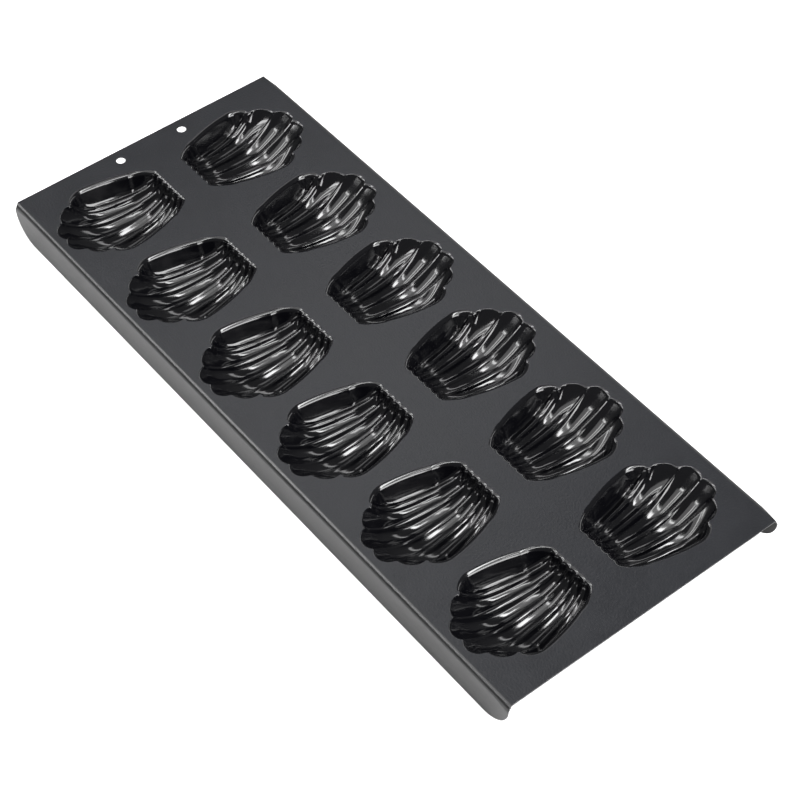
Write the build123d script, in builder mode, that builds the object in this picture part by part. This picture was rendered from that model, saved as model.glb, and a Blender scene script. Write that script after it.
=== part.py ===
from build123d import *
import math
import os

# Madeleine tray: one pressed sheet with twelve shell hollows in two rows, folded down along
# both long sides and pierced by two hang holes at one short end.
# Frame: X along the tray, with the hang holes at the -X end, Y across it, Z up.
# The origin lies under the middle of the tray, on the plane that the folded sides stand on.
# All sizes are in millimetres.

# Sheet and folded sides
sheet = 0.8
bend_radius = 2.4
side_corner_share = 0.9

# One hollow, measured at the upper face of the deck
shell_width = 51.6
shell_length = 64.8
shell_depth = 15.3
wall_draft = 20
rim_roll = 0.7
scallop_height = 0.8

# Grid of the hollows, and the flat sheet between and around them
columns = 6
column_gap = 11.75
hinge_gap = 17.4
end_margin = 13.3
front_margin = 5.7
back_margin = 9.3
clearance_under_shells = 3.9

# Strip at the end of the deck that carries the hang holes
hang_end_length = 10.8
hang_hole_diameter = 5
hang_hole_spacing = 39
hang_hole_to_end = 7.2

# Shares of one hollow: first across it, of shell_width from the middle line, then along it,
# of shell_length from the middle towards the fan.
scallop_pitch_share = 0.092
scallops_each_side = 2
hinge_line_share = -0.5
hinge_corner_shares = (0.256, -0.494)
hinge_corner_middle_shares = (0.222, -0.5)
waist_middle_shares = (0.332, -0.43)
waist_end_shares = (0.393, -0.309)
side_middle_shares = (0.464, -0.116)
side_end_shares = (0.5, 0.077)
# Lobes of the fan from the side inwards: the top of the lobe, then the notch that ends it.
fan_lobe_shares = (
    ((0.477, 0.17), (0.401, 0.235)),
    ((0.351, 0.367), (0.24, 0.405)),
    ((0.114, 0.5), (0, 0.47)),
)

# Fluted floor of one hollow at stations along it, from the hinge to the fan. Each row holds the
# place along the hollow, then place across and depth for the four lines that the flutes run
# between (middle ridge, inner ridge, outer ridge and side edge), then the dip of the inner,
# middle and outer flute under the line between its two edges. Depths and dips are shares of
# shell_depth, and a negative depth is above the deck.
floor_station_shares = (
    (-0.53, ((0, 0.02), (0.094, 0.01), (0.188, 0), (0.28, -0.04)), (0.065, 0.065, 0.065)),
    (-0.417, ((0, 0.45), (0.115, 0.41), (0.225, 0.38), (0.36, 0.21)), (0.112, 0.112, 0.137)),
    (-0.309, ((0, 0.68), (0.136, 0.6), (0.26, 0.55), (0.426, 0.3)), (0.153, 0.151, 0.19)),
    (-0.185, ((0, 0.785), (0.156, 0.667), (0.293, 0.606), (0.475, 0.327)), (0.189, 0.184, 0.229)),
    (-0.062, ((0, 0.83), (0.172, 0.689), (0.323, 0.613), (0.509, 0.326)), (0.217, 0.204, 0.25)),
    (0.062, ((0, 0.817), (0.189, 0.679), (0.358, 0.544), (0.536, 0.263)), (0.235, 0.216, 0.261)),
    (0.17, ((0, 0.73), (0.206, 0.602), (0.388, 0.292), (0.555, 0.082)), (0.221, 0.209, 0.238)),
    (0.263, ((0, 0.575), (0.22, 0.448), (0.409, -0.132), (0.569, -0.262)), (0.2, 0.198, 0.203)),
    (0.355, ((0, 0.37), (0.233, 0.197), (0.425, -0.622), (0.581, -0.766)), (0.196, 0.196, 0.196)),
    (0.44, ((0, 0.116), (0.245, -0.133), (0.437, -1.018), (0.592, -1.209)), (0.196, 0.196, 0.196)),
    (0.53, ((0, -0.16), (0.259, -0.458), (0.449, -1.307), (0.604, -1.569)), (0.196, 0.196, 0.196)),
)
headroom_share = 1.8
wall_reach_share = 1.1

# Derived sizes and places
column_pitch = shell_width + column_gap
tray_length = columns * column_pitch - column_gap + 2 * end_margin
tray_width = 2 * shell_length + hinge_gap + front_margin + back_margin
side_height = clearance_under_shells + sheet + shell_depth
deck_length = tray_length - hang_end_length
deck_width = tray_width - 2 * bend_radius
side_corner_radius = side_corner_share * (side_height - bend_radius)
rim_band = rim_roll + sheet
wall_reach = wall_reach_share * shell_depth
wall_inset = wall_reach * math.tan(math.radians(wall_draft))
deck_x = hang_end_length / 2
hang_end_x = (hang_end_length - tray_length) / 2
hang_hole_x = hang_hole_to_end - tray_length / 2
front_row_y = front_margin + shell_length / 2 - tray_width / 2
back_row_y = tray_width / 2 - back_margin - shell_length / 2
column_places = [(column - (columns - 1) / 2) * column_pitch for column in range(columns)]


def across_and_along(shares, width, length):
    return (shares[0] * width, shares[1] * length)


def shell_outline(depth, growth):
    """Outline of a hollow at a depth under the deck, grown outwards on all sides."""
    width = shell_width + 2 * growth
    length = shell_length + 2 * growth
    hinge = hinge_line_share * length
    pitch = scallop_pitch_share * width
    corner = across_and_along(hinge_corner_shares, width, length)
    waist_end = across_and_along(waist_end_shares, width, length)
    side_end = across_and_along(side_end_shares, width, length)
    with BuildSketch(Plane.XY.offset(-depth)) as outline:
        with BuildLine():
            for index in range(scallops_each_side):
                ThreePointArc(
                    (index * pitch, hinge + scallop_height),
                    ((index + 0.5) * pitch, hinge),
                    ((index + 1) * pitch, hinge + scallop_height),
                )
            ThreePointArc(
                (scallops_each_side * pitch, hinge + scallop_height),
                across_and_along(hinge_corner_middle_shares, width, length),
                corner,
            )
            ThreePointArc(corner, across_and_along(waist_middle_shares, width, length), waist_end)
            ThreePointArc(waist_end, across_and_along(side_middle_shares, width, length), side_end)
            start = side_end
            for lobe_shares, notch_shares in fan_lobe_shares:
                lobe = across_and_along(lobe_shares, width, length)
                notch = across_and_along(notch_shares, width, length)
                ThreePointArc(start, lobe, notch)
                start = notch
            mirror(about=Plane.YZ)
        make_face()
    return outline.sketch


def floor_section(station, skin):
    """Section across the space over the fluted floor, lowered by a skin of the sheet."""
    along_share, edge_shares, dip_shares = station
    edges = [(across * shell_width, -depth * shell_depth) for across, depth in edge_shares]
    headroom = headroom_share * shell_depth
    with BuildSketch(Plane.XZ.offset(-along_share * shell_length)) as section:
        with BuildLine():
            for inner, outer, dip in zip(edges, edges[1:], dip_shares):
                SagittaArc(inner, outer, -dip * shell_depth)
            side = edges[-1]
            Polyline(side, (side[0], headroom), (0, headroom))
            mirror(about=Plane.YZ)
        make_face()
        if skin:
            offset(amount=skin, kind=Kind.INTERSECTION)
    return section.sketch


def shell_space(roll, growth):
    """The space inside a hollow, or with a growth of one sheet the outside of its wall."""
    levels = [(roll, growth), (wall_reach, growth - wall_inset)]
    if roll:
        levels.insert(0, (0, growth + roll))
    with BuildPart() as space:
        loft(sections=[shell_outline(depth, grown) for depth, grown in levels], ruled=True)
        loft(
            sections=[floor_section(station, growth) for station in floor_station_shares],
            ruled=True,
            mode=Mode.INTERSECT,
        )
    return space.part


# One hollow in its own frame: the fan towards +Y, the upper face of the deck at Z = 0
with BuildPart() as shell:
    add(shell_space(0, sheet))
    add(shell_outline(0, rim_band))
    extrude(amount=-sheet)
    add(shell_space(rim_roll, 0), mode=Mode.SUBTRACT)


def finish(piece, name):
    """Labels a piece and writes its file."""
    piece.part.label = name
    export_step(piece.part, f"parts/{name}.step")


os.makedirs("parts", exist_ok=True)

# Hollows, numbered from the end with the hang holes, each with its fan towards the nearer side
rows = (("front", front_row_y, 180), ("back", back_row_y, 0))
shell_places = [
    (f"{row}_shell_{number}", Location((x, y, side_height), (0, 0, turn)))
    for row, y, turn in rows
    for number, x in enumerate(column_places, start=1)
]
for name, place in shell_places:
    with BuildPart() as placed_shell:
        with Locations(place):
            add(shell.part)
    finish(placed_shell, name)

# Deck: the flat web between the bends, open where the hollows are
with BuildPart() as deck:
    with BuildSketch(Plane.XY.offset(side_height)):
        with Locations((deck_x, 0)):
            Rectangle(deck_length, deck_width)
        with Locations([place for _, place in shell_places]):
            add(shell_outline(0, rim_band), mode=Mode.SUBTRACT)
    extrude(amount=-sheet)
finish(deck, "deck")

# End of the deck with the hang holes
with BuildPart() as hang_end:
    with BuildSketch(Plane.XY.offset(side_height)):
        with Locations((hang_end_x, 0)):
            Rectangle(hang_end_length, deck_width)
        with Locations((hang_hole_x, hang_hole_spacing / 2), (hang_hole_x, -hang_hole_spacing / 2)):
            Circle(hang_hole_diameter / 2, mode=Mode.SUBTRACT)
    extrude(amount=-sheet)
finish(hang_end, "hang_end")

# Folded side: the round bend and the straight skirt under it, with rounded lower corners
with BuildPart() as back_side:
    with BuildSketch(Plane.YZ.offset(-tray_length / 2)):
        with BuildLine():
            bend_start = (deck_width / 2, side_height)
            bend_end = (tray_width / 2, side_height - bend_radius)
            RadiusArc(bend_start, bend_end, bend_radius)
            inner_end = (tray_width / 2 - sheet, side_height - bend_radius)
            inner_start = (deck_width / 2, side_height - sheet)
            Polyline(bend_end, (tray_width / 2, 0), (tray_width / 2 - sheet, 0), inner_end)
            RadiusArc(inner_end, inner_start, sheet - bend_radius)
            Line(inner_start, bend_start)
        make_face()
    extrude(amount=tray_length)
    lower_corners = back_side.edges().filter_by(Axis.Y).group_by(Axis.Z)[0]
    fillet(lower_corners, radius=side_corner_radius)
finish(back_side, "back_side")

with BuildPart() as front_side:
    mirror(back_side.part, about=Plane.XZ)
finish(front_side, "front_side")
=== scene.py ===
"""Madeleine pan: a coated steel sheet with twelve fluted shell hollows, and its studio."""

import math

import bpy
import numpy as np
from bpy.props import FloatProperty, FloatVectorProperty, PointerProperty
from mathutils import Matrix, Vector
from mathutils.geometry import delaunay_2d_cdt


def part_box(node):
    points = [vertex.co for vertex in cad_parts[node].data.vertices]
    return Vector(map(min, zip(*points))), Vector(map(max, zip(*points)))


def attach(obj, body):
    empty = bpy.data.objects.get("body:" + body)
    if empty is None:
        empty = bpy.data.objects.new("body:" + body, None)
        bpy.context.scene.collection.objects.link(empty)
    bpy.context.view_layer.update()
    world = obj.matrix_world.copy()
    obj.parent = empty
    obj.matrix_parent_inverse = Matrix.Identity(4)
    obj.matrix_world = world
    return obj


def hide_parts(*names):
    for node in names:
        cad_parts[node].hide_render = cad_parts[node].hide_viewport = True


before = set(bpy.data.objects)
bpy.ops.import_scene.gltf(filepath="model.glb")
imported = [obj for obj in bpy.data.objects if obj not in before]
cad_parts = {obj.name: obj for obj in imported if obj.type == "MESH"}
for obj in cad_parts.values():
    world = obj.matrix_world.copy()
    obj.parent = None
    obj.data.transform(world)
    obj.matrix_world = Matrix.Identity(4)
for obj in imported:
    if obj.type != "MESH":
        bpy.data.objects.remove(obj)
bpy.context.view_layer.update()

bl_info = {
    "name": "Madeleine pan",
    "version": (1, 0, 0),
    "blender": (4, 5, 0),
    "location": "View3D > Sidebar > Pan",
    "description": "Builds a coated madeleine pan around its construction model",
    "category": "Add Mesh",
}

MM = 0.001
BODY = "root"
COLUMNS = 6

# Mesh of the pieces, in millimetres where it isn't a count or a share. A rim ring is the outline
# grown by its first number, with its points as far apart as its second. The floor's own points
# start FLOOR_MESH_START inside the outline, and a cut edge is rounded from EDGE_ROUND_START on.
SEAM_STEP = 0.8
RIM_RINGS = (
    (1.3, 0.7), (1.1, 0.6), (0.9, 0.6), (0.7, 0.55), (0.5, 0.5), (0.3, 0.5), (0.12, 0.5),
    (-0.05, 0.5), (-0.2, 0.5), (-0.35, 0.5), (-0.5, 0.5), (-0.64, 0.5), (-0.78, 0.5),
    (-0.91, 0.5), (-1.04, 0.5), (-1.25, 0.5), (-1.6, 0.5), (-2.0, 0.5),
)
FLUTE_COLUMN_SHARES = (0, 0.05, 0.1, 0.16, 0.24, 0.34, 0.45, 0.56, 0.66, 0.76, 0.84, 0.9, 0.95)
FLOOR_MESH_START = 2.2
LEAST_ARC_STEPS = 3
HOLE_POINTS = 48
CORNER_POINTS = 25
BEND_ROWS = 12
BEND_COLUMNS = 40
EDGE_ROUND_START = 0.4

# Accuracy in millimetres: of telling inside from outside, of slopes, and of points at one place
INSIDE_TEST_STEP = 0.1
SLOPE_STEP = 0.02
SAME_PLACE = 0.001

# What the triangulator is asked for: all the triangles inside the points' hull
WHOLE_HULL = 0

# How far across its circle a flute or a ridge is followed, as a share of the radius. Past that
# a flute goes straight on and a ridge stays level.
FLUTE_INNER_REACH = 0.999
FLUTE_OUTER_REACH = 0.97
RIDGE_REACH = 0.98

# The run over which the blend at the wall's foot grows, in rim leads, and the least blend of two
# heights, in metres
FOOT_RUN = 3
LEAST_BLEND = 1e-9

# Coating, in millimetres or as shares. The hollows' gloss, and the darker colour that paints shade
# in them, are full from the gloss depth down.
COATING_IOR = 1.5
CLOUD_SIZE = 14
CLOUD_DETAIL = 3
CLOUD_DARK = 0.92
CLOUD_LIGHT = 1.08
CLOUD_ROUGHNESS = 0.02
GRAIN_DETAIL = 2
DECK_GRAIN_SHARE = 1.0
SIDE_GRAIN_SHARE = 0.3
GLOSS_AND_SHADE_DEPTH = 0.05
GLOSS_CLOUD_SIZE = 6
GLOSS_CLOUD_DETAIL = 2
GLOSS_CLOUD_ROUGHNESS = 0.03
GLOSS_GRAIN_SHARE = 0.02

# The middle of a noise's values, which is spread over the wanted range
NOISE_MIDDLE = (0.3, 0.7)

# What the mix node calls each kind of socket
MIX_KINDS = {"VALUE": "FLOAT", "RGBA": "RGBA"}

# Studio: how far the floor lies under the pan, in millimetres, how near and far the camera sees,
# in metres, and the rise of a direction over which the room gets as bright as its ceiling
FLOOR_DROP = 0.02
CLIP_START = 0.01
CLIP_END = 20.0
CEILING_RISE = (0, 0.35)

# Lamps: name, place, the point that it faces, width and height, brightness as a share, and turn
LAMPS = (
    ("roof_lamp", (-1.2, -0.5, 1.5), (-1.2, -0.5, 0.0), (2.7, 1.4), 2.0, math.radians(9)),
    ("outer_bar_lamp", (-1.85, -0.4, 1.45), (-1.85, -0.4, 0.0), (0.32, 1.1), 12.0, math.radians(4)),
    ("edge_bar_lamp", (-0.95, -1.1, 1.45), (-0.95, -1.1, 0.0), (1.3, 0.14), 16.0, 0.0),
    ("inner_bar_lamp", (-0.9, -0.45, 1.45), (-0.9, -0.45, 0.0), (0.25, 1.0), 11.0, math.radians(4)),
    ("skylight_lamp", (1.0, 0.28, 1.5), (1.0, 0.28, 0.0), (2.0, 0.75), 2.8, math.radians(13)),
    ("low_strip_lamp", (0.85, 0.0, 1.45), (0.85, 0.0, 0.0), (1.8, 0.12), 14.0, math.radians(8)),
    ("strip_lamp", (1.2, 0.62, 1.45), (1.2, 0.62, 0.0), (1.7, 0.26), 22.0, math.radians(17)),
    ("window_lamp", (1.87, 0.33, 0.62), (0.0, 0.0, 0.0), (1.1, 0.9), 13.0, 0.0),
    ("back_lamp", (-0.4, 2.1, 1.45), (0.0, 0.0, 0.0), (3.0, 0.3), 4.5, 0.0),
    ("doorway_lamp", (0.35, -1.85, 0.51), (0.0, 0.0, 0.0), (0.7, 0.35), 4.0, 0.0),
    ("deck_lamp", (-0.62, 0.47, 0.9), (-0.62, 0.47, 0.0), (0.55, 0.42), 1.7, 0.0),
)

DECK_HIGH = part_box("deck")[1]
DECK_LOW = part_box("hang_end")[0]
SIDE_LOW, SIDE_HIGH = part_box("back_side")


def box_middle(name):
    """Middle of a CAD node's box, along and across the pan."""
    low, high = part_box(name)
    return (low.x + high.x) / 2, (low.y + high.y) / 2


FIRST_COLUMN, FRONT_ROW = box_middle("front_shell_1")
LAST_COLUMN = box_middle(f"front_shell_{COLUMNS}")[0]
BACK_ROW = box_middle("back_shell_1")[1]
COLUMN_PITCH = (LAST_COLUMN - FIRST_COLUMN) / (COLUMNS - 1)

# The two rows of hollows: name, place across the pan and turn
ROWS = (("front", FRONT_ROW, math.pi), ("back", BACK_ROW, 0.0))

# Shares of one hollow: across it, of its width from the middle line, and along it, of its length
# from the middle towards the fan.
SCALLOP_PITCH_SHARE = 0.092
SCALLOPS_EACH_SIDE = 2
HINGE_LINE_SHARE = -0.5
HINGE_CORNER_SHARES = (0.256, -0.494)
HINGE_CORNER_MIDDLE_SHARES = (0.222, -0.5)
WAIST_MIDDLE_SHARES = (0.332, -0.43)
WAIST_END_SHARES = (0.393, -0.309)
SIDE_MIDDLE_SHARES = (0.464, -0.116)
SIDE_END_SHARES = (0.5, 0.077)
FAN_LOBE_SHARES = (
    ((0.477, 0.17), (0.401, 0.235)),
    ((0.351, 0.367), (0.24, 0.405)),
    ((0.114, 0.5), (0, 0.47)),
)

# Fluted floor at stations along the hollow: the place along; then the place across and the depth
# of the middle ridge, the inner ridge, the outer ridge and the side edge; then the dips of the
# inner, middle and outer flute. Depths and dips are shares of the depth, and a negative depth is
# above the deck.
FLOOR_STATION_SHARES = (
    (-0.53, ((0, 0.02), (0.094, 0.01), (0.188, 0), (0.28, -0.04)), (0.065, 0.065, 0.065)),
    (-0.417, ((0, 0.45), (0.115, 0.41), (0.225, 0.38), (0.36, 0.21)), (0.112, 0.112, 0.137)),
    (-0.309, ((0, 0.68), (0.136, 0.6), (0.26, 0.55), (0.426, 0.3)), (0.153, 0.151, 0.19)),
    (-0.185, ((0, 0.785), (0.156, 0.667), (0.293, 0.606), (0.475, 0.327)), (0.189, 0.184, 0.229)),
    (-0.062, ((0, 0.83), (0.172, 0.689), (0.323, 0.613), (0.509, 0.326)), (0.217, 0.204, 0.25)),
    (0.062, ((0, 0.817), (0.189, 0.679), (0.358, 0.544), (0.536, 0.263)), (0.235, 0.216, 0.261)),
    (0.17, ((0, 0.73), (0.206, 0.602), (0.388, 0.292), (0.555, 0.082)), (0.221, 0.209, 0.238)),
    (0.263, ((0, 0.575), (0.22, 0.448), (0.409, -0.132), (0.569, -0.262)), (0.2, 0.198, 0.203)),
    (0.355, ((0, 0.37), (0.233, 0.197), (0.425, -0.622), (0.581, -0.766)), (0.196, 0.196, 0.196)),
    (0.44, ((0, 0.116), (0.245, -0.133), (0.437, -1.018), (0.592, -1.209)), (0.196, 0.196, 0.196)),
    (0.53, ((0, -0.16), (0.259, -0.458), (0.449, -1.307), (0.604, -1.569)), (0.196, 0.196, 0.196)),
)


# Sizes and colours

class PanSheetSizes(bpy.types.PropertyGroup):
    """The sheet, its folded sides and its hang holes"""

    thickness: FloatProperty(
        name="Sheet thickness", description="Thickness of the coated sheet",
        default=0.8 * MM, min=0.3 * MM, max=3 * MM, subtype="DISTANCE", unit="LENGTH",
    )
    bend_radius: FloatProperty(
        name="Bend radius", description="Outer radius of the bend between deck and side",
        default=SIDE_HIGH.y - DECK_HIGH.y, min=1 * MM, subtype="DISTANCE", unit="LENGTH",
    )
    corner_share: FloatProperty(
        name="Side corner", description="Radius of a side's lower corners, as a share of its skirt",
        default=0.9, min=0, max=1, subtype="FACTOR",
    )
    edge_round: FloatProperty(
        name="Edge rounding", description="Rounding that the coating leaves on a cut edge",
        default=0.16 * MM, min=0, subtype="DISTANCE", unit="LENGTH",
    )
    hole_diameter: FloatProperty(
        name="Hang hole", description="Diameter of a hang hole",
        default=5 * MM, min=1 * MM, subtype="DISTANCE", unit="LENGTH",
    )
    hole_spacing: FloatProperty(
        name="Hang hole spacing", description="Distance between the two hang holes",
        default=39 * MM, subtype="DISTANCE", unit="LENGTH",
    )
    hole_to_end: FloatProperty(
        name="Hang hole to end", description="Distance from the short end to a hang hole's middle",
        default=7.2 * MM, subtype="DISTANCE", unit="LENGTH",
    )


class HollowSizes(bpy.types.PropertyGroup):
    """One shell hollow, measured at the upper face of the deck"""

    width: FloatProperty(
        name="Width", description="Width across the flutes",
        default=51.6 * MM, subtype="DISTANCE", unit="LENGTH",
    )
    length: FloatProperty(
        name="Length", description="Length from the hinge to the tip of the fan",
        default=64.8 * MM, subtype="DISTANCE", unit="LENGTH",
    )
    depth: FloatProperty(
        name="Depth", description="Depth of the deepest flute under the deck",
        default=15.3 * MM, subtype="DISTANCE", unit="LENGTH",
    )
    draft: FloatProperty(
        name="Draft", description="Lean of the wall away from upright",
        default=math.radians(20), subtype="ANGLE", unit="ROTATION",
    )
    scallop_height: FloatProperty(
        name="Scallop height", description="Rise of a scallop along the hinge",
        default=0.8 * MM, subtype="DISTANCE", unit="LENGTH",
    )
    rim_radius: FloatProperty(
        name="Rim radius", description="Radius of the roll from the deck into the hollow",
        default=2.6 * MM, subtype="DISTANCE", unit="LENGTH",
    )
    rim_lead: FloatProperty(
        name="Rim lead", description="How far outside the outline the roll starts",
        default=1.4 * MM, subtype="DISTANCE", unit="LENGTH",
    )
    rim_band: FloatProperty(
        name="Rim band", description="Width of the flat band around the hollow",
        default=1.5 * MM, subtype="DISTANCE", unit="LENGTH",
    )
    ridge_radius: FloatProperty(
        name="Ridge radius", description="Radius of the ridge between two flutes",
        default=1.2 * MM, subtype="DISTANCE", unit="LENGTH",
    )
    foot_blend: FloatProperty(
        name="Wall foot", description="Height over which the wall blends into the floor",
        default=2.2 * MM, subtype="DISTANCE", unit="LENGTH",
    )
    crest_blend: FloatProperty(
        name="Ridge run-out", description="Height over which a ridge runs out into the deck",
        default=0.6 * MM, subtype="DISTANCE", unit="LENGTH",
    )
    grid_step: FloatProperty(
        name="Mesh step", description="Distance between the mesh points on the floor",
        default=0.54 * MM, subtype="DISTANCE", unit="LENGTH",
    )


class CoatingLook(bpy.types.PropertyGroup):
    """Colours and finish of the non-stick coating"""

    deck_color: FloatVectorProperty(
        name="Deck", description="Colour of the coating on the flat deck",
        default=(0.003, 0.0035, 0.0055), size=3, min=0, max=1, subtype="COLOR",
    )
    # Painted shade: the hollows' colour is set darker than the deck's so that they look shaded
    hollow_shade_color: FloatVectorProperty(
        name="Hollow", description="Colour of the coating in the hollows",
        default=(0.0012, 0.0012, 0.0018), size=3, min=0, max=1, subtype="COLOR",
    )
    side_color: FloatVectorProperty(
        name="Sides", description="Colour of the coating on the folded sides",
        default=(0.011, 0.011, 0.0115), size=3, min=0, max=1, subtype="COLOR",
    )
    side_roughness: FloatProperty(
        name="Side roughness", description="Roughness of the folded sides",
        default=0.3, min=0, max=1, subtype="FACTOR",
    )
    deck_roughness: FloatProperty(
        name="Deck roughness", description="Roughness of the satin deck",
        default=0.32, min=0, max=1, subtype="FACTOR",
    )
    hollow_roughness: FloatProperty(
        name="Hollow roughness", description="Roughness of the glossy hollows",
        default=0.11, min=0, max=1, subtype="FACTOR",
    )
    grain_size: FloatProperty(
        name="Grain size", description="Size of the grain in the satin coating",
        default=1.1 * MM, subtype="DISTANCE", unit="LENGTH",
    )
    grain_depth: FloatProperty(
        name="Grain depth", description="Height of the grain in the satin coating",
        default=0.12 * MM, subtype="DISTANCE", unit="LENGTH",
    )


class StudioLook(bpy.types.PropertyGroup):
    """Camera, floor and lamps"""

    camera_place: FloatVectorProperty(
        name="Camera", description="Where the camera stands",
        default=(0.56482, -0.42523, 0.80166), size=3, subtype="XYZ", unit="LENGTH",
    )
    camera_turn: FloatVectorProperty(
        name="Camera turn", description="How the camera is turned about X, Y and Z",
        default=(math.radians(40.8155), math.radians(0.3939), math.radians(51.4702)),
        size=3, subtype="EULER", unit="ROTATION",
    )
    lens: FloatProperty(name="Lens", description="Focal length in millimetres", default=97.37)
    floor_size: FloatProperty(
        name="Floor", description="Side of the square floor",
        default=6.0, subtype="DISTANCE", unit="LENGTH",
    )
    floor_color: FloatVectorProperty(
        name="Floor colour", description="Colour of the pale floor",
        default=(0.65, 0.65, 0.65), size=3, min=0, max=1, subtype="COLOR",
    )
    floor_lift: FloatProperty(
        name="Floor lift", description="Light that the camera alone sees added to the floor",
        default=0.5, min=0,
    )
    room_low: FloatProperty(
        name="Room below", description="Brightness of the room near the floor", default=0.1,
    )
    room_high: FloatProperty(
        name="Room above", description="Brightness of the ceiling", default=0.27,
    )
    lamp_level: FloatProperty(
        name="Lamps", description="Brightness of the lamps", default=1.0, min=0,
    )


def sheet_sizes():
    return bpy.context.scene.pan_sheet


def hollow_sizes():
    return bpy.context.scene.pan_hollow


def coating_look():
    return bpy.context.scene.pan_coating


def studio_look():
    return bpy.context.scene.pan_studio


# Outline and depth of a hollow

def arc_through(start, middle, end):
    """Centre, radius, first angle and sweep of the arc through three points."""
    (ax, ay), (bx, by), (cx, cy) = start, middle, end
    area = 2 * (ax * (by - cy) + bx * (cy - ay) + cx * (ay - by))
    aa, bb, cc = ax * ax + ay * ay, bx * bx + by * by, cx * cx + cy * cy
    x = (aa * (by - cy) + bb * (cy - ay) + cc * (ay - by)) / area
    y = (aa * (cx - bx) + bb * (ax - cx) + cc * (bx - ax)) / area
    first = math.atan2(ay - y, ax - x)
    turn = math.tau if area > 0 else -math.tau
    sweep = math.fmod(math.atan2(cy - y, cx - x) - first + 2 * turn, turn)
    return (x, y), math.hypot(ax - x, ay - y), first, sweep


def outline_arcs(growth):
    """The arcs of the right half of the outline, from the hinge's middle to the fan's notch."""
    sizes = hollow_sizes()
    width = sizes.width + 2 * growth
    length = sizes.length + 2 * growth
    hinge = HINGE_LINE_SHARE * length
    pitch = SCALLOP_PITCH_SHARE * width

    def place(shares):
        return (shares[0] * width, shares[1] * length)

    arcs = []
    for index in range(SCALLOPS_EACH_SIDE):
        arcs.append((
            (index * pitch, hinge + sizes.scallop_height),
            ((index + 0.5) * pitch, hinge),
            ((index + 1) * pitch, hinge + sizes.scallop_height),
        ))
    scallops_end = (SCALLOPS_EACH_SIDE * pitch, hinge + sizes.scallop_height)
    corner = place(HINGE_CORNER_SHARES)
    waist_end = place(WAIST_END_SHARES)
    side_end = place(SIDE_END_SHARES)
    arcs.append((scallops_end, place(HINGE_CORNER_MIDDLE_SHARES), corner))
    arcs.append((corner, place(WAIST_MIDDLE_SHARES), waist_end))
    arcs.append((waist_end, place(SIDE_MIDDLE_SHARES), side_end))
    start = side_end
    for lobe_shares, notch_shares in FAN_LOBE_SHARES:
        notch = place(notch_shares)
        arcs.append((start, place(lobe_shares), notch))
        start = notch
    return [arc_through(*arc) for arc in arcs]


def outline_points(growth, step):
    """The closed outline as points, counter-clockwise from the hinge's middle."""
    half = []
    for (x, y), radius, first, sweep in outline_arcs(growth):
        count = max(LEAST_ARC_STEPS, round(abs(sweep) * radius / step))
        for angle in first + sweep * np.arange(count) / count:
            half.append((x + radius * math.cos(angle), y + radius * math.sin(angle)))
    length = hollow_sizes().length + 2 * growth
    last_notch = FAN_LOBE_SHARES[-1][1]
    half.append((0.0, last_notch[1] * length))
    half = np.array(half)
    left = half[1:-1][::-1] * (-1, 1)
    return np.concatenate([half, left])


def inside(points, polygon):
    """Which points lie inside a closed polygon."""
    x, y = points[:, 0], points[:, 1]
    result = np.zeros(len(points), bool)
    for (ax, ay), (bx, by) in zip(polygon, np.roll(polygon, -1, axis=0)):
        if ay != by:
            crosses = (ay > y) != (by > y)
            result ^= crosses & (x < ax + (y - ay) * (bx - ax) / (by - ay))
    return result


def distance_inside(points):
    """Distance from the outline, positive inside it, for points in one hollow's own plane."""
    x, y = np.abs(points[:, 0]), points[:, 1]
    nearest = np.full(len(points), np.inf)
    for (cx, cy), radius, first, sweep in outline_arcs(0):
        turn = np.arctan2(y - cy, x - cx) - first
        turn = np.mod(turn, math.tau) if sweep > 0 else -np.mod(-turn, math.tau)
        on_arc = np.abs(turn) <= abs(sweep)
        along = np.abs(np.hypot(x - cx, y - cy) - radius)
        ends = [
            np.hypot(x - cx - radius * math.cos(angle), y - cy - radius * math.sin(angle))
            for angle in (first, first + sweep)
        ]
        nearest = np.minimum(nearest, np.where(on_arc, along, np.minimum(*ends)))
    return np.where(inside(points, outline_points(0, INSIDE_TEST_STEP * MM)), nearest, -nearest)


def smooth_curve(places, values, at):
    """Values read off a smooth curve through given places."""
    places, values = np.array(places), np.array(values)
    slopes = np.diff(values) / np.diff(places)
    weights = np.diff(places)
    tangents = np.concatenate([
        slopes[:1],
        (slopes[:-1] * weights[1:] + slopes[1:] * weights[:-1]) / (weights[1:] + weights[:-1]),
        slopes[-1:],
    ])
    at = np.clip(at, places[0], places[-1])
    index = np.clip(np.searchsorted(places, at) - 1, 0, len(places) - 2)
    span = places[index + 1] - places[index]
    t = (at - places[index]) / span
    low, high = values[index], values[index + 1]
    return (
        low * (2 * t**3 - 3 * t**2 + 1) + high * (3 * t**2 - 2 * t**3)
        + span * (tangents[index] * (t**3 - 2 * t**2 + t) + tangents[index + 1] * (t**3 - t**2))
    )


def smooth_min(a, b, blend):
    """The smaller of two heights, rounded where they meet."""
    near = np.maximum(blend - np.abs(a - b), 0)
    return np.minimum(a, b) - near * near / (4 * np.maximum(blend, LEAST_BLEND))


def ridge_lines(along):
    """Place across and depth of the ridge lines, and the dips of the flutes between them."""
    sizes = hollow_sizes()
    along_shares, line_shares, dip_shares = zip(*FLOOR_STATION_SHARES)
    stations = [share * sizes.length for share in along_shares]
    lines = [
        (
            smooth_curve(stations, [across * sizes.width for across, _ in line], along),
            smooth_curve(stations, [depth * sizes.depth for _, depth in line], along),
        )
        for line in zip(*line_shares)
    ]
    dips = [
        smooth_curve(stations, [dip * sizes.depth for dip in flute], along)
        for flute in zip(*dip_shares)
    ]
    return lines, dips


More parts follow.
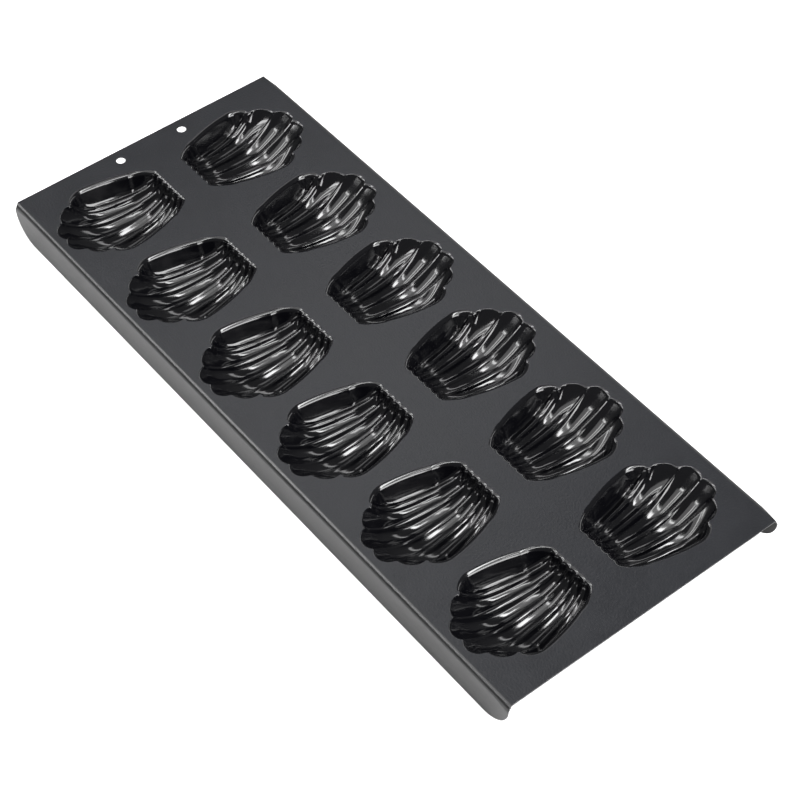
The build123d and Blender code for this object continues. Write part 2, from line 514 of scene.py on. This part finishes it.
def flute_circle(inner, outer, dip):
    """Centre and radius of the circle through two ridge lines, dipping between them."""
    (xa, da), (xb, db) = inner, outer
    chord = np.hypot(xb - xa, db - da)
    radius = (chord * chord / 4 + dip * dip) / (2 * dip)
    rise = (radius - dip) / chord
    return (xa + xb) / 2 + (db - da) * rise, -(da + db) / 2 + (xb - xa) * rise, radius


def crest_height(across, line, ridge_radius):
    """Height of a rounded ridge."""
    reach = RIDGE_REACH * ridge_radius
    offset = np.clip(across - line[0], -reach, reach)
    return -line[1] - ridge_radius + np.sqrt(ridge_radius * ridge_radius - offset * offset)


def floor_depth(points):
    """Depth of the fluted floor under the deck: round flutes that meet in rounded ridges."""
    ridge_radius = hollow_sizes().ridge_radius
    across = np.abs(points[:, 0])
    lines, dips = ridge_lines(points[:, 1])
    height = crest_height(across, lines[0], ridge_radius)
    for inner, outer, dip in zip(lines, lines[1:], dips):
        x, z, radius = flute_circle(inner, outer, dip)
        share = ridge_radius / radius
        flute_radius = radius - ridge_radius
        offset = across - x
        held = np.clip(offset, -FLUTE_INNER_REACH * flute_radius, FLUTE_OUTER_REACH * flute_radius)
        fall = np.sqrt(flute_radius * flute_radius - held * held)
        flute = z - ridge_radius - fall + (offset - held) * held / fall
        height = np.where(across > inner[0] + (x - inner[0]) * share, flute, height)
        if outer is not lines[-1]:
            crest = crest_height(across, outer, ridge_radius)
            height = np.where(across > outer[0] + (x - outer[0]) * share, crest, height)
    return -height


def wall_depth(distance):
    """Depth of the rolled rim and the leaning wall at a distance inside the outline."""
    sizes = hollow_sizes()
    lean = math.tan(sizes.draft)
    from_start = distance + sizes.rim_lead
    roll_end = sizes.rim_radius * math.cos(sizes.draft)
    rolled = np.clip(from_start, 0, roll_end)
    roll = sizes.rim_radius - np.sqrt(sizes.rim_radius**2 - rolled**2)
    return roll + np.maximum(from_start - roll_end, 0) / lean


def hollow_depth(points):
    """Depth of the hollow's surface under the deck."""
    sizes = hollow_sizes()
    distance = distance_inside(points)
    floor = -smooth_min(-floor_depth(points), np.zeros(len(points)), sizes.crest_blend)
    run = (distance + sizes.rim_lead) / (FOOT_RUN * sizes.rim_lead)
    foot = sizes.foot_blend * np.clip(run, 0, 1)
    return np.maximum(smooth_min(wall_depth(distance), floor, foot), 0)


def hollow_normals(points):
    """Unit normals of the hollow's surface, pointing up."""
    step = SLOPE_STEP * MM
    slope_x = hollow_depth(points + (step, 0)) - hollow_depth(points - (step, 0))
    slope_y = hollow_depth(points + (0, step)) - hollow_depth(points - (0, step))
    normals = np.stack([slope_x, slope_y, np.full(len(points), 2 * step)], axis=1)
    return normals / np.linalg.norm(normals, axis=1)[:, None]


# Meshes

def new_object(name, data):
    """A new object of the scene, around a mesh, a lamp or a camera."""
    made = bpy.data.objects.new(name, data)
    bpy.context.scene.collection.objects.link(made)
    return made


def seat_piece(piece, slot, *nodes):
    """Rides on the pan and stands for its CAD nodes, which it hides; the slot is not used."""
    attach(piece, BODY)
    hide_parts(*nodes)


def loop_normals(loop):
    """Unit normals of a closed counter-clockwise outline at its points, pointing out of it."""
    ahead = np.roll(loop, -1, axis=0) - np.roll(loop, 1, axis=0)
    normals = np.column_stack([ahead[:, 1], -ahead[:, 0]])
    return normals / np.linalg.norm(normals, axis=1)[:, None]


def triangulated(loops, fill_points):
    """Triangles of the flat region inside the first outline and outside the others."""
    flat = np.concatenate([*loops, fill_points])
    edges, start = [], 0
    for loop in loops:
        count = len(loop)
        edges += [(start + k, start + (k + 1) % count) for k in range(count)]
        start += count
    places, _, triangles, sources, *_ = delaunay_2d_cdt(
        [Vector(point) for point in flat], edges, [], WHOLE_HULL, SAME_PLACE * MM
    )
    if len(places) != len(flat):
        raise RuntimeError("two points of a flat outline are at one place")
    order = np.array([source[0] for source in sources])
    faces = order[np.array(triangles)]
    middles = flat[faces].mean(axis=1)
    keep = inside(middles, loops[0])
    for hole in loops[1:]:
        keep &= ~inside(middles, hole)
    faces = faces[keep]
    ab, ac = (flat[faces[:, k]] - flat[faces[:, 0]] for k in (1, 2))
    clockwise = ab[:, 0] * ac[:, 1] < ab[:, 1] * ac[:, 0]
    faces[clockwise] = faces[clockwise][:, ::-1]
    return flat, faces


def open_edges(faces):
    """The directed edges that only one triangle uses."""
    directed = {(face[k], face[(k + 1) % 3]) for face in faces.tolist() for k in range(3)}
    return sorted(edge for edge in directed if (edge[1], edge[0]) not in directed)


def formed_sheet(name, loops, cut, fill_points, form):
    """A closed sheet of even thickness.

    The first flat outline is its outside and the others are holes, all counter-clockwise. The cut
    flags mark the points of each outline that lie on a cut edge, which the coating rounds. The
    form gives flat points their places on the upper face and their normals.
    """
    sheet = sheet_sizes().thickness
    ease = sheet_sizes().edge_round
    away = np.concatenate([
        loop_normals(loop) * (-1 if index else 1) for index, loop in enumerate(loops)
    ])
    full, flags = np.concatenate(loops), np.concatenate(cut)
    starts = np.cumsum([len(loop) for loop in loops])[:-1]
    flat, faces = triangulated(np.split(full - away * ease * flags[:, None], starts), fill_points)
    upper, normals = form(flat)
    rim, rim_normals = form(full[flags])
    rim_away = form(full[flags] + away[flags] * ease)[0] - rim
    rim_away /= np.linalg.norm(rim_away, axis=1)[:, None]
    places = np.concatenate([
        upper, upper - normals * sheet,
        rim - rim_normals * ease, rim - rim_normals * (sheet - ease),
    ])
    shading = np.concatenate([normals, -normals, rim_away, rim_away])
    count, rim_count = len(upper), len(rim)
    rim_index = np.cumsum(flags) - 1
    all_faces = faces.tolist() + (faces[:, ::-1] + count).tolist()
    # Walls between the two faces; on a cut edge they are three, with the rounding above and below
    for a, b in open_edges(faces):
        rows = [(a, b)]
        if a < len(flags) and b < len(flags) and flags[a] and flags[b]:
            for start in (2 * count, 2 * count + rim_count):
                rows.append((start + rim_index[a], start + rim_index[b]))
        rows.append((a + count, b + count))
        for (a_high, b_high), (a_low, b_low) in zip(rows, rows[1:]):
            all_faces.append((b_high, a_high, a_low, b_low))
    mesh = bpy.data.meshes.new(name)
    mesh.from_pydata(places.tolist(), [], [tuple(map(int, face)) for face in all_faces])
    mesh.polygons.foreach_set("use_smooth", [True] * len(mesh.polygons))
    mesh.normals_split_custom_set_from_vertices(shading.tolist())
    return mesh


# Nodes

def node(tree, kind, **settings):
    """A new node with its properties set."""
    made = tree.nodes.new(kind)
    for key, value in settings.items():
        setattr(made, key, value)
    return made


def feed(tree, socket, value):
    """Gives an input its value: a number, a colour or another node's output."""
    if isinstance(value, bpy.types.NodeSocket):
        tree.links.new(value, socket)
    elif socket.type == "RGBA":
        socket.default_value = (*value, 1)
    else:
        socket.default_value = value


def bare_tree(owner, output_kind):
    """The cleared node tree of a material or the world, and its output."""
    owner.use_nodes = True
    tree = owner.node_tree
    tree.nodes.clear()
    return tree, node(tree, output_kind)


# One hollow

def hollow_fill():
    """Inner mesh points of a hollow: rings down its rim and wall, then rows along its flutes."""
    sizes = hollow_sizes()
    rings = [outline_points(growth * MM, step * MM) for growth, step in RIM_RINGS]
    along = np.arange(-sizes.length / 2, sizes.length / 2, sizes.grid_step)
    lines, _ = ridge_lines(along)
    columns = [
        inner + share * (outer - inner)
        for (inner, _), (outer, _) in zip(lines, lines[1:])
        for share in FLUTE_COLUMN_SHARES
    ]
    rows = [np.column_stack([column, along]) for column in columns]
    rows += [np.column_stack([-column, along]) for column in columns[1:]]
    rows = np.concatenate(rows)
    rows = rows[distance_inside(rows) > FLOOR_MESH_START * MM]
    return np.concatenate([*rings, rows])


def hollow_form(points):
    """Places and normals of flat points on a hollow's upper face."""
    return np.column_stack([points, -hollow_depth(points)]), hollow_normals(points)


def hollow_mesh():
    """The sheet of one hollow with its rim band, at the origin with its fan towards +Y."""
    edge = outline_points(hollow_sizes().rim_band, SEAM_STEP * MM)
    mesh = formed_sheet(
        "hollow", [edge], [np.zeros(len(edge), bool)], hollow_fill(), hollow_form
    )
    places = np.zeros(len(mesh.vertices) * 3)
    mesh.vertices.foreach_get("co", places)
    upper_count = len(mesh.vertices) // 2
    depth = -places[2::3][:upper_count]
    # How deep a point lies sets both the gloss and the painted shade, a colour darker than the
    # deck's
    share = np.clip(depth / (GLOSS_AND_SHADE_DEPTH * MM), 0, 1)
    attribute = mesh.attributes.new("inside", "FLOAT", "POINT")
    attribute.data.foreach_set("value", np.concatenate([share, share]))
    return mesh


def hollow_places():
    """Name, column number, row place and turn of each hollow."""
    return [
        (f"{row}_shell_{column + 1}", column, row_place, turn)
        for row, row_place, turn in ROWS
        for column in range(COLUMNS)
    ]


def placing_tree(coating):
    """Geometry Nodes that put one hollow at its column of a row."""
    tree = bpy.data.node_groups.new("hollow_in_grid", "GeometryNodeTree")
    for name, kind in (
        ("Hollow", "NodeSocketGeometry"),
        ("Column", "NodeSocketInt"),
        ("First column", "NodeSocketFloat"),
        ("Column pitch", "NodeSocketFloat"),
        ("Row place", "NodeSocketFloat"),
        ("Deck height", "NodeSocketFloat"),
        ("Turn", "NodeSocketFloat"),
    ):
        tree.interface.new_socket(name, in_out="INPUT", socket_type=kind)
    tree.interface.new_socket("Placed", in_out="OUTPUT", socket_type="NodeSocketGeometry")
    given = node(tree, "NodeGroupInput").outputs
    result = node(tree, "NodeGroupOutput")
    along = node(tree, "ShaderNodeMath", operation="MULTIPLY_ADD")
    place = node(tree, "ShaderNodeCombineXYZ")
    turn = node(tree, "ShaderNodeCombineXYZ")
    point = node(tree, "GeometryNodePoints")
    instance = node(tree, "GeometryNodeInstanceOnPoints")
    realize = node(tree, "GeometryNodeRealizeInstances")
    finish = node(tree, "GeometryNodeSetMaterial")
    finish.inputs["Material"].default_value = coating
    for source, target in (
        (given["Column"], along.inputs[0]),
        (given["Column pitch"], along.inputs[1]),
        (given["First column"], along.inputs[2]),
        (along.outputs[0], place.inputs["X"]),
        (given["Row place"], place.inputs["Y"]),
        (given["Deck height"], place.inputs["Z"]),
        (given["Turn"], turn.inputs["Z"]),
        (place.outputs[0], point.inputs["Position"]),
        (point.outputs[0], instance.inputs["Points"]),
        (given["Hollow"], instance.inputs["Instance"]),
        (turn.outputs[0], instance.inputs["Rotation"]),
        (instance.outputs[0], realize.inputs[0]),
        (realize.outputs[0], finish.inputs["Geometry"]),
        (finish.outputs[0], result.inputs["Placed"]),
    ):
        tree.links.new(source, target)
    return tree


def placed_by(tree, name, mesh, settings):
    """A plain mesh object made by the tree from a mesh and the values of its named inputs."""
    carrier = new_object(f"{name}_carrier", mesh)
    modifier = carrier.modifiers.new("place", "NODES")
    modifier.node_group = tree
    for item in tree.interface.items_tree:
        if item.in_out == "INPUT" and item.name in settings:
            modifier[item.identifier] = settings[item.name]
    bpy.context.view_layer.update()
    depsgraph = bpy.context.evaluated_depsgraph_get()
    placed = bpy.data.meshes.new_from_object(
        carrier.evaluated_get(depsgraph), preserve_all_data_layers=True, depsgraph=depsgraph
    )
    placed.name = name
    carrier.modifiers.remove(modifier)
    bpy.data.objects.remove(carrier)
    return new_object(name, placed)


class PAN_OT_hollows(bpy.types.Operator):
    """Presses the twelve fluted hollows into the sheet"""

    bl_idname = "pan.hollows"
    bl_label = "Hollows"

    def execute(self, context):
        mesh = hollow_mesh()
        tree = placing_tree(hollow_coating())
        for name, column, row_place, turn in hollow_places():
            settings = {
                "Column": column,
                "First column": FIRST_COLUMN,
                "Column pitch": COLUMN_PITCH,
                "Row place": row_place,
                "Deck height": DECK_HIGH.z,
                "Turn": turn,
            }
            seat_piece(placed_by(tree, f"coated_{name}", mesh, settings), "hollow_coating", name)
        bpy.data.meshes.remove(mesh)
        return {"FINISHED"}


# Deck

def circle_points(x, y, radius, count):
    """The points of a circle, counter-clockwise."""
    angles = math.tau * np.arange(count) / count
    return np.column_stack([x + radius * np.cos(angles), y + radius * np.sin(angles)])


class PAN_OT_deck(bpy.types.Operator):
    """Makes the flat deck between the hollows, with its hang holes"""

    bl_idname = "pan.deck"
    bl_label = "Deck"

    def execute(self, context):
        sizes = sheet_sizes()
        (left, near), (right, far) = DECK_LOW.xy, DECK_HIGH.xy
        start = EDGE_ROUND_START * MM
        outside = np.array([
            (left, near), (right, near), (right, near + start), (right, far - start),
            (right, far), (left, far), (left, far - start), (left, near + start),
        ])
        # The short ends are cut edges, and the long ones run on into the bends
        loops, cut = [outside], [np.array([False, False, True, True] * 2)]
        seam = outline_points(hollow_sizes().rim_band, SEAM_STEP * MM)
        for _, column, row_place, turn in hollow_places():
            facing = -1 if turn else 1
            loops.append(seam * facing + (FIRST_COLUMN + column * COLUMN_PITCH, row_place))
            cut.append(np.zeros(len(seam), bool))
        hole_x = DECK_LOW.x + sizes.hole_to_end
        for side in (-1, 1):
            hole_y = side * sizes.hole_spacing / 2
            loops.append(circle_points(hole_x, hole_y, sizes.hole_diameter / 2, HOLE_POINTS))
            cut.append(np.ones(HOLE_POINTS, bool))

        def form(points):
            height = np.full(len(points), DECK_HIGH.z)
            return np.column_stack([points, height]), np.tile((0.0, 0.0, 1.0), (len(points), 1))

        mesh = formed_sheet("deck", loops, cut, np.zeros((0, 2)), form)
        mesh.materials.append(deck_coating())
        seat_piece(new_object("coated_deck", mesh), "deck_coating", "deck", "hang_end")
        return {"FINISHED"}


# Folded sides

def side_form(face):
    """The form of a folded side: round the bend from the deck's edge, then down its skirt."""
    radius = sheet_sizes().bend_radius
    bend_length = radius * math.pi / 2

    def form(points):
        along, down = points[:, 0], points[:, 1]
        turn = np.clip(down / radius, None, math.pi / 2)
        turned = np.maximum(turn, 0)
        out = DECK_HIGH.y + radius * np.sin(turned) + np.minimum(down, 0)
        height = DECK_HIGH.z - radius * (1 - np.cos(turned)) - np.maximum(down - bend_length, 0)
        places = np.column_stack([face * along, face * out, height])
        normals = np.column_stack([np.zeros(len(along)), face * np.sin(turned), np.cos(turned)])
        return places, normals

    return form


def side_outline():
    """Flat outline of a folded side and its cut points, with its rounded lower corners."""
    radius = sheet_sizes().bend_radius
    skirt = DECK_HIGH.z - SIDE_LOW.z - radius
    full = radius * math.pi / 2 + skirt
    corner = skirt * sheet_sizes().corner_share
    half = DECK_HIGH.x
    quarter = np.linspace(0, math.pi / 2, CORNER_POINTS)
    right = np.column_stack([
        half - corner + corner * np.cos(quarter), full - corner + corner * np.sin(quarter),
    ])
    left = right[::-1] * (-1, 1)
    start = EDGE_ROUND_START * MM
    outline = np.concatenate([
        [(-half, 0.0), (half, 0.0), (half, start)], right, left, [(-half, start)],
    ])
    return outline, np.arange(len(outline)) > 1


class PAN_OT_sides(bpy.types.Operator):
    """Folds the two long sides down from the deck"""

    bl_idname = "pan.sides"
    bl_label = "Folded sides"

    def execute(self, context):
        radius = sheet_sizes().bend_radius
        outline, cut = side_outline()
        rows = radius * np.linspace(0, math.pi / 2, BEND_ROWS + 1)
        places = np.linspace(DECK_LOW.x, DECK_HIGH.x, BEND_COLUMNS + 1)[1:-1]
        fill = np.array([(x, row) for row in rows[1:] for x in places])
        coating = side_coating()
        for name, face in (("front_side", -1), ("back_side", 1)):
            mesh = formed_sheet(name, [outline], [cut], fill, side_form(face))
            mesh.materials.append(coating)
            seat_piece(new_object(f"coated_{name}", mesh), "side_coating", name)
        return {"FINISHED"}


# Coating

def noise(tree, coordinates, size, detail):
    """Noise with features of a size in metres, in the piece's own place."""
    made = node(tree, "ShaderNodeTexNoise")
    made.inputs["Scale"].default_value = 1 / size
    made.inputs["Detail"].default_value = detail
    tree.links.new(coordinates, made.inputs["Vector"])
    return made.outputs["Fac"]


def spread(tree, value, low, high, part=NOISE_MIDDLE):
    """Maps a part of a value's range, by default the middle of a noise, onto another range."""
    made = node(tree, "ShaderNodeMapRange")
    for name, setting in zip(("From Min", "From Max", "To Min", "To Max"), (*part, low, high)):
        made.inputs[name].default_value = setting
    tree.links.new(value, made.inputs["Value"])
    return made.outputs["Result"]


def blend(tree, kind, factor, first, second):
    """A mix of two numbers, where the kind is VALUE, or of two colours, where it is RGBA."""
    made = node(tree, "ShaderNodeMix", data_type=MIX_KINDS[kind])
    tree.links.new(factor, made.inputs["Factor"])
    for name, value in (("A", first), ("B", second)):
        feed(tree, next(s for s in made.inputs if s.name == name and s.type == kind), value)
    return next(s for s in made.outputs if s.type == kind)


def new_coating(name):
    """A bare coating: its material, node tree and shader, and the piece's own coordinates."""
    material = bpy.data.materials.new(name)
    tree, output = bare_tree(material, "ShaderNodeOutputMaterial")
    shader = node(tree, "ShaderNodeBsdfPrincipled")
    shader.inputs["IOR"].default_value = COATING_IOR
    tree.links.new(shader.outputs["BSDF"], output.inputs["Surface"])
    coordinates = node(tree, "ShaderNodeTexCoord").outputs["Object"]
    return material, tree, shader, coordinates


def satin(tree, coordinates, color, roughness):
    """Colour and roughness of the satin coating, cloudy as sprayed coatings are."""
    clouds = noise(tree, coordinates, CLOUD_SIZE * MM, CLOUD_DETAIL)
    dark = [channel * CLOUD_DARK for channel in color]
    light = [channel * CLOUD_LIGHT for channel in color]
    cloudy = blend(tree, "RGBA", spread(tree, clouds, 0, 1), dark, light)
    rough = spread(tree, clouds, roughness - CLOUD_ROUGHNESS, roughness + CLOUD_ROUGHNESS)
    return cloudy, rough


def grained(tree, shader, coordinates, strength):
    """Fine grain of the sprayed coating, raised by a bump."""
    look = coating_look()
    fine = noise(tree, coordinates, look.grain_size, GRAIN_DETAIL)
    bump = node(tree, "ShaderNodeBump")
    bump.inputs["Distance"].default_value = look.grain_depth
    tree.links.new(fine, bump.inputs["Height"])
    feed(tree, bump.inputs["Strength"], strength)
    tree.links.new(bump.outputs["Normal"], shader.inputs["Normal"])


def satin_coating(name, color, roughness, grain):
    """Satin coating with its clouds and its share of the grain."""
    material, tree, shader, coordinates = new_coating(name)
    cloudy, rough = satin(tree, coordinates, color, roughness)
    tree.links.new(cloudy, shader.inputs["Base Color"])
    tree.links.new(rough, shader.inputs["Roughness"])
    grained(tree, shader, coordinates, grain)
    return material


def deck_coating():
    look = coating_look()
    return satin_coating(
        "satin_deck_coating", look.deck_color, look.deck_roughness, DECK_GRAIN_SHARE
    )


def side_coating():
    look = coating_look()
    return satin_coating(
        "satin_side_coating", look.side_color, look.side_roughness, SIDE_GRAIN_SHARE
    )


def hollow_coating():
    """Glossy near-black inside the hollow, with a colour darker than the deck's as painted shade,
    running out into the satin deck over its rim.
    """
    look = coating_look()
    material, tree, shader, coordinates = new_coating("glossy_hollow_coating")
    cloudy, rough = satin(tree, coordinates, look.deck_color, look.deck_roughness)
    share = node(tree, "ShaderNodeAttribute", attribute_name="inside").outputs["Fac"]
    clouds = noise(tree, coordinates, GLOSS_CLOUD_SIZE * MM, GLOSS_CLOUD_DETAIL)
    smoothest = look.hollow_roughness - GLOSS_CLOUD_ROUGHNESS
    roughest = look.hollow_roughness + GLOSS_CLOUD_ROUGHNESS
    glossy = spread(tree, clouds, smoothest, roughest)
    # Painted shade: the hollows take a colour darker than the deck's, full from the gloss depth
    # down
    color = blend(tree, "RGBA", share, cloudy, look.hollow_shade_color)
    tree.links.new(color, shader.inputs["Base Color"])
    tree.links.new(blend(tree, "VALUE", share, rough, glossy), shader.inputs["Roughness"])
    grain = blend(tree, "VALUE", share, DECK_GRAIN_SHARE, GLOSS_GRAIN_SHARE)
    grained(tree, shader, coordinates, grain)
    return material


# Stage

def floor_finish():
    """Pale floor: lit like any other, and a little brighter where the camera sees it."""
    look = studio_look()
    material = bpy.data.materials.new("pale_floor")
    tree, output = bare_tree(material, "ShaderNodeOutputMaterial")
    pale = node(tree, "ShaderNodeBsdfDiffuse")
    pale.inputs["Color"].default_value = (*look.floor_color, 1)
    glow = node(tree, "ShaderNodeEmission")
    seen = node(tree, "ShaderNodeLightPath").outputs["Is Camera Ray"]
    level = node(tree, "ShaderNodeMath", operation="MULTIPLY")
    level.inputs[1].default_value = look.floor_lift
    both = node(tree, "ShaderNodeAddShader")
    tree.links.new(seen, level.inputs[0])
    tree.links.new(level.outputs[0], glow.inputs["Strength"])
    tree.links.new(pale.outputs[0], both.inputs[0])
    tree.links.new(glow.outputs[0], both.inputs[1])
    tree.links.new(both.outputs[0], output.inputs["Surface"])
    return material


def lay_floor():
    """The square floor under the pan."""
    half = studio_look().floor_size / 2
    mesh = bpy.data.meshes.new("floor")
    corners = [(-half, -half), (half, -half), (half, half), (-half, half)]
    mesh.from_pydata([(x, y, -FLOOR_DROP * MM) for x, y in corners], [], [(0, 1, 2, 3)])
    mesh.materials.append(floor_finish())
    new_object("floor", mesh)


def surround():
    """A pale backdrop for the camera, and for all else a soft room under a brighter ceiling."""
    look = studio_look()
    world = bpy.data.worlds.new("studio_room")
    bpy.context.scene.world = world
    tree, output = bare_tree(world, "ShaderNodeOutputWorld")
    backdrop = node(tree, "ShaderNodeBackground")
    room = node(tree, "ShaderNodeBackground")
    mix = node(tree, "ShaderNodeMixShader")
    axes = node(tree, "ShaderNodeSeparateXYZ")
    tree.links.new(node(tree, "ShaderNodeTexCoord").outputs["Generated"], axes.inputs[0])
    level = spread(tree, axes.outputs["Z"], look.room_low, look.room_high, CEILING_RISE)
    tree.links.new(level, room.inputs["Strength"])
    tree.links.new(node(tree, "ShaderNodeLightPath").outputs["Is Camera Ray"], mix.inputs["Fac"])
    tree.links.new(room.outputs[0], mix.inputs[1])
    tree.links.new(backdrop.outputs[0], mix.inputs[2])
    tree.links.new(mix.outputs[0], output.inputs["Surface"])


def hang_lamp(name, place, target, size, radiance, turn):
    """A flat lamp that faces a target, as bright as asked on its whole face."""
    lamp = bpy.data.lights.new(name, "AREA")
    lamp.shape = "RECTANGLE"
    lamp.size, lamp.size_y = size
    lamp.energy = radiance * math.pi * size[0] * size[1]
    holder = new_object(name, lamp)
    facing = (Vector(target) - Vector(place)).to_track_quat("-Z", "Y").to_euler()
    facing.rotate_axis("Z", turn)
    holder.location = place
    holder.rotation_euler = facing


def stand_camera():
    """The camera at the photograph's place."""
    look = studio_look()
    camera = bpy.data.cameras.new("camera")
    camera.lens = look.lens
    camera.clip_start = CLIP_START
    camera.clip_end = CLIP_END
    holder = new_object("camera", camera)
    holder.location = look.camera_place
    holder.rotation_euler = look.camera_turn
    bpy.context.scene.camera = holder


class PAN_OT_stage(bpy.types.Operator):
    """Lays the pale floor and sets up the soft lamps, the surroundings and the camera"""

    bl_idname = "pan.stage"
    bl_label = "Stage"

    def execute(self, context):
        look = studio_look()
        context.scene.view_settings.view_transform = "Standard"
        lay_floor()
        surround()
        for name, place, target, size, share, turn in LAMPS:
            hang_lamp(name, place, target, size, share * look.lamp_level, turn)
        stand_camera()
        return {"FINISHED"}


class PAN_PT_pan(bpy.types.Panel):
    """Lists the pieces of the pan with their sizes and colours"""

    bl_idname = "PAN_PT_pan"
    bl_label = "Madeleine pan"
    bl_space_type = "VIEW_3D"
    bl_region_type = "UI"
    bl_category = "Pan"

    def draw(self, context):
        scene = context.scene
        for title, operator, settings in (
            ("Sheet", PAN_OT_deck, scene.pan_sheet),
            ("Folded sides", PAN_OT_sides, None),
            ("Hollows", PAN_OT_hollows, scene.pan_hollow),
            ("Coating", None, scene.pan_coating),
            ("Studio", PAN_OT_stage, scene.pan_studio),
        ):
            box = self.layout.box()
            box.label(text=title)
            if settings:
                for name in settings.__annotations__:
                    box.prop(settings, name)
            if operator:
                box.operator(operator.bl_idname)


CLASSES = (
    PanSheetSizes, HollowSizes, CoatingLook, StudioLook,
    PAN_OT_hollows, PAN_OT_deck, PAN_OT_sides, PAN_OT_stage, PAN_PT_pan,
)


def register():
    for entry in CLASSES:
        bpy.utils.register_class(entry)
    bpy.types.Scene.pan_sheet = PointerProperty(type=PanSheetSizes)
    bpy.types.Scene.pan_hollow = PointerProperty(type=HollowSizes)
    bpy.types.Scene.pan_coating = PointerProperty(type=CoatingLook)
    bpy.types.Scene.pan_studio = PointerProperty(type=StudioLook)


def unregister():
    del bpy.types.Scene.pan_studio
    del bpy.types.Scene.pan_coating
    del bpy.types.Scene.pan_hollow
    del bpy.types.Scene.pan_sheet
    for entry in reversed(CLASSES):
        bpy.utils.unregister_class(entry)


def main():
    """Makes the pan and its studio."""
    register()
    bpy.ops.pan.hollows()
    bpy.ops.pan.deck()
    bpy.ops.pan.sides()
    bpy.ops.pan.stage()


if __name__ == "__main__":
    main()
